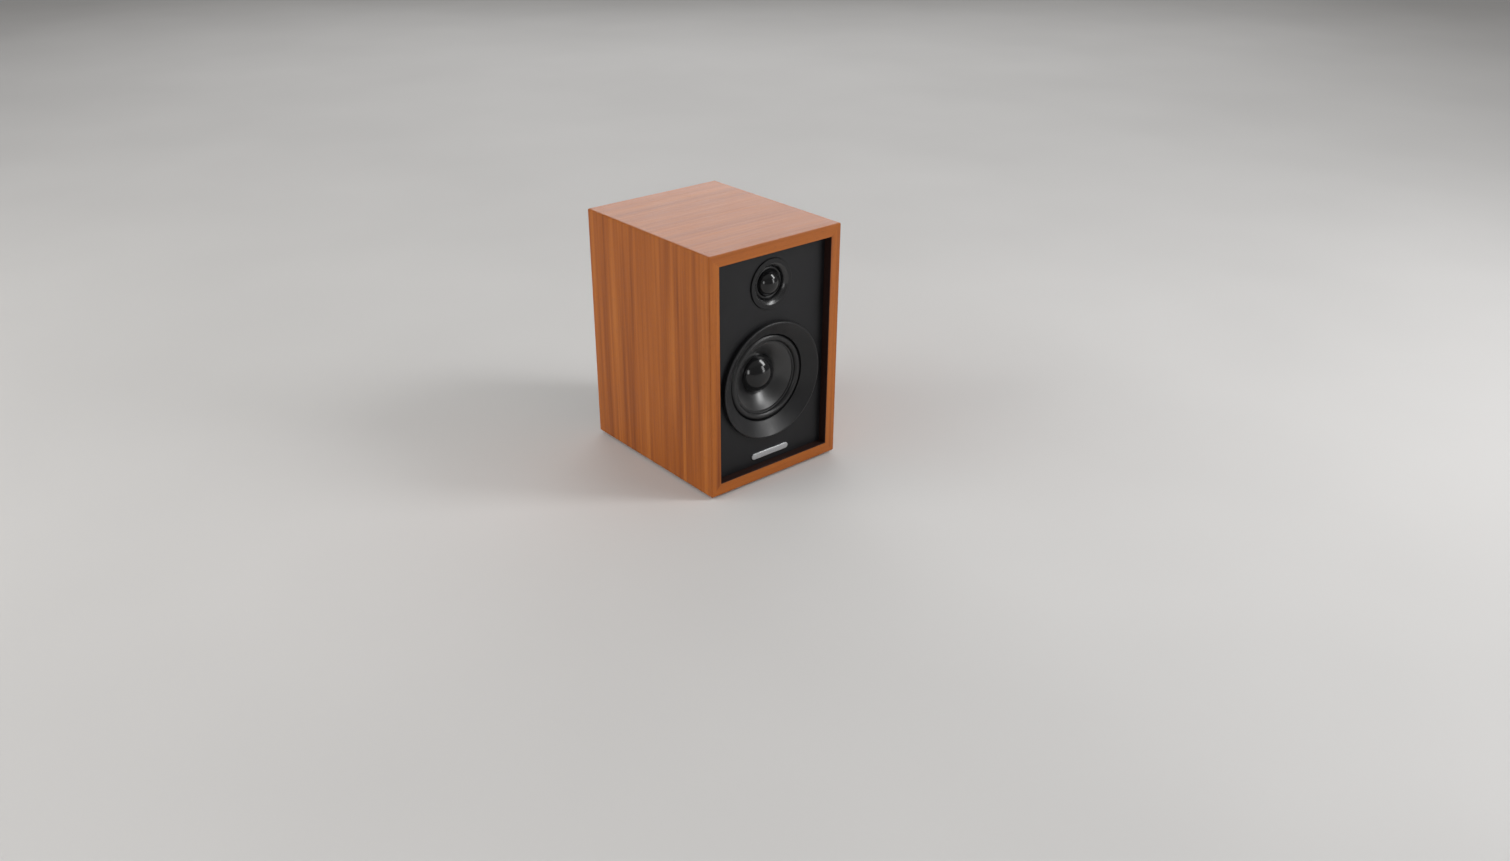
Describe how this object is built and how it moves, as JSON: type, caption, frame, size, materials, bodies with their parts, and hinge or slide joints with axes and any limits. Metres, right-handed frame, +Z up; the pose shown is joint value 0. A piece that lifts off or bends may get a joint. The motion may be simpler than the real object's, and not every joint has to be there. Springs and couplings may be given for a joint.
{
  "type": "bookshelf loudspeaker",
  "caption": "Upright wood-veneered box loudspeaker with a black recessed baffle, dome tweeter above a cone woofer in a dished trim ring, rear port and binding posts.",
  "frame": {"origin": "centre of the cabinet's footprint, at the level its feet stand on", "axes": "+X to the right as seen by the listener, -Y towards the listener, +Z up"},
  "size_m": [0.158, 0.19, 0.2425],
  "materials": {
    "veneer": "satin lacquered veneer, grain upright on the sides",
    "baffle_finish": "satin black vinyl on board",
    "raw_board": "bare fibreboard and softwood",
    "back_finish": "satin black vinyl on board",
    "foot_rubber": "matte",
    "plate_metal": "brushed, blank",
    "trim_plastic": "fine satin moulding",
    "surround_rubber": "satin",
    "cone_plastic": "satin",
    "cap_gloss": "gloss",
    "dome_gloss": "gloss coated",
    "horn_plastic": "satin gloss moulding",
    "tweeter_surround_skin": "satin",
    "basket_paint": "satin black powder coat",
    "plated_steel": "zinc plated",
    "ferrite": "matte",
    "nickel": "nickel plated",
    "former_foil": "bright foil",
    "copper_wire": "enamelled copper",
    "spider_cloth": "resin-treated weave",
    "foam_black": "foam",
    "black_screw": "black oxide",
    "zinc_screw": "zinc plated",
    "gold_brass": "gold plated",
    "red_plastic": "gloss",
    "black_plastic": "gloss",
    "cup_plastic": "satin moulding",
    "strip_board": "phenolic strip",
    "circuit_board": "lacquered laminate",
    "film_case": "gloss",
    "cement": "matte",
    "nylon": "matte",
    "lead_sleeve": "flexible insulation",
    "wadding": "fluffy polyester"
  },
  "bodies": {
    "cabinet_body": {"left_side_panel": "veneer", "right_side_panel": "veneer", "top_panel": "veneer", "bottom_panel": "veneer", "front_baffle": "baffle_finish", "back_panel": "back_finish", "window_brace": "raw_board", "corner_cleats": "raw_board", "back_panel_screws": "black_screw", "rubber_feet": "foot_rubber", "badge_plate": "plate_metal", "damping_pads": "wadding", "woofer_trim_ring": "trim_plastic", "woofer_rear_gasket": "foam_black", "woofer_front_gasket": "foam_black", "woofer_basket": "basket_paint", "woofer_screws": "black_screw", "woofer_surround": "surround_rubber", "woofer_spider": "spider_cloth", "woofer_top_plate": "plated_steel", "woofer_magnet": "ferrite", "woofer_yoke": "plated_steel", "woofer_tinsel_leads": "copper_wire", "tweeter_faceplate": "horn_plastic", "tweeter_surround": "tweeter_surround_skin", "tweeter_pole_plate": "plated_steel", "tweeter_magnet": "nickel", "tweeter_pot": "plated_steel", "tweeter_clamp_ring": "plated_steel", "tweeter_screws": "zinc_screw", "driver_terminal_strips": "strip_board", "driver_tabs": "gold_brass", "port_tube": "cup_plastic", "terminal_cup": "cup_plastic", "terminal_cup_gasket": "foam_black", "terminal_cup_screws": "black_screw", "red_post_stud": "gold_brass", "red_post_collar": "red_plastic", "black_post_stud": "gold_brass", "black_post_collar": "black_plastic", "post_nuts": "gold_brass", "post_solder_tags": "gold_brass", "crossover_board": "circuit_board", "crossover_inductors": "copper_wire", "crossover_capacitors": "film_case", "crossover_resistor": "cement", "crossover_standoffs": "nylon", "input_leads": "lead_sleeve", "woofer_leads": "lead_sleeve", "tweeter_leads": "lead_sleeve"},
    "woofer_cone_body": {"woofer_cone": "cone_plastic", "woofer_dust_cap": "cap_gloss", "woofer_coil_former": "former_foil", "woofer_coil_winding": "copper_wire"},
    "tweeter_dome_body": {"tweeter_dome": "dome_gloss", "tweeter_voice_coil": "copper_wire"},
    "red_washer_body": {"red_post_washer": "gold_brass"},
    "red_cap_body": {"red_post_cap": "red_plastic"},
    "black_washer_body": {"black_post_washer": "gold_brass"},
    "black_cap_body": {"black_post_cap": "black_plastic"}
  },
  "joints": [
    {"name": "woofer_stroke", "type": "slide", "parent": "cabinet_body", "child": "woofer_cone_body", "axis": [0, -1, 0], "range_m": [-0.0035, 0.0035], "stiffness_N_per_m": 1000, "deforming": ["woofer_surround", "woofer_spider", "woofer_tinsel_leads"]},
    {"name": "tweeter_stroke", "type": "slide", "parent": "cabinet_body", "child": "tweeter_dome_body", "axis": [0, -1, 0], "range_m": [-0.0003, 0.0003], "stiffness_N_per_m": 40, "deforming": ["tweeter_surround"]},
    {"name": "red_cap_lift", "type": "slide", "parent": "cabinet_body", "child": "red_washer_body", "axis": [0, 1, 0], "range_m": [0, 0.004]},
    {"name": "red_cap_turn", "type": "hinge", "parent": "red_washer_body", "child": "red_cap_body", "pos_m": [0.00953, 0.0795, 0.0645], "axis": [0, 1, 0], "range_deg": [-20, 1460]},
    {"name": "black_cap_lift", "type": "slide", "parent": "cabinet_body", "child": "black_washer_body", "axis": [0, 1, 0], "range_m": [0, 0.004]},
    {"name": "black_cap_turn", "type": "hinge", "parent": "black_washer_body", "child": "black_cap_body", "pos_m": [-0.00953, 0.0795, 0.0645], "axis": [0, 1, 0], "range_deg": [-20, 1460]}
  ],
  "couplings": [
    {"joint": "red_cap_turn", "follows": "red_cap_lift", "rad_per_m": 6283.2},
    {"joint": "black_cap_turn", "follows": "black_cap_lift", "rad_per_m": 6283.2}
  ]
}
